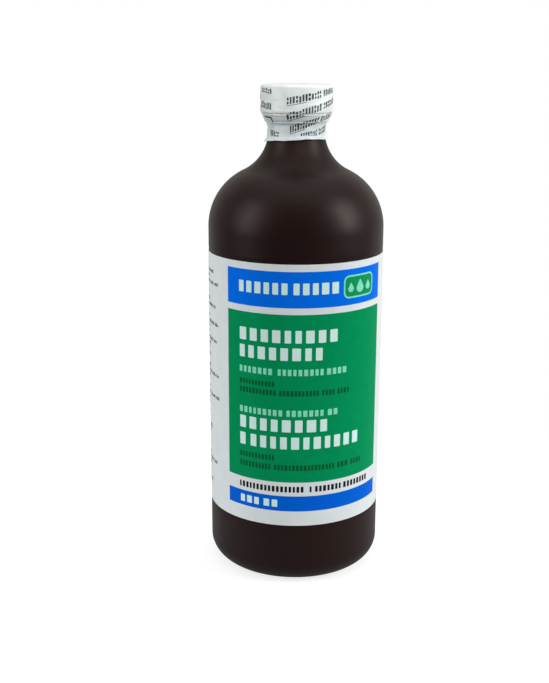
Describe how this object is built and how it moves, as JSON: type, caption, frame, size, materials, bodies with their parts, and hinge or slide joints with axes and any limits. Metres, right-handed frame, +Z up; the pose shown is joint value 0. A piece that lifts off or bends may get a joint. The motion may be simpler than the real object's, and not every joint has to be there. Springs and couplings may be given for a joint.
{
  "type": "screw-cap solution bottle",
  "caption": "Round dark blown plastic bottle with narrow neck, ribbed screw cap, foam liner, wrap-round label and a shrink band over cap and neck, filled with liquid.",
  "frame": {"origin": "centre of the base, on the surface the bottle stands on", "axes": "+Z up along the bottle's axis to the cap; -Y out of the middle of the label's front panel; +X to the right of that panel"},
  "size_m": [0.069, 0.0691, 0.1926],
  "materials": {
    "bottle": "satin blown HDPE, very dark brown",
    "solution": "clear water-like liquid",
    "label": "semi-gloss printed film label",
    "liner": "white foamed polyethylene",
    "cap": "white moulded polypropylene",
    "band": "silvery white printed shrink film"
  },
  "bodies": {
    "bottle": {"bottle": "bottle", "solution": "solution", "label": "label", "band_lower": "band"},
    "liner": {"liner": "liner"},
    "cap": {"cap": "cap", "band_upper": "band"}
  },
  "joints": [
    {"name": "cap_lift", "type": "slide", "parent": "bottle", "child": "liner", "axis": [0, 0, 1], "range_m": [0, 0.0127]},
    {"name": "cap_turn", "type": "hinge", "parent": "liner", "child": "cap", "pos_m": [0, 0, 0.1908], "axis": [0, 0, 1], "range_deg": [0, 1440]}
  ],
  "couplings": [
    {"joint": "cap_turn", "follows": "cap_lift", "rad_per_m": 1978.9}
  ]
}
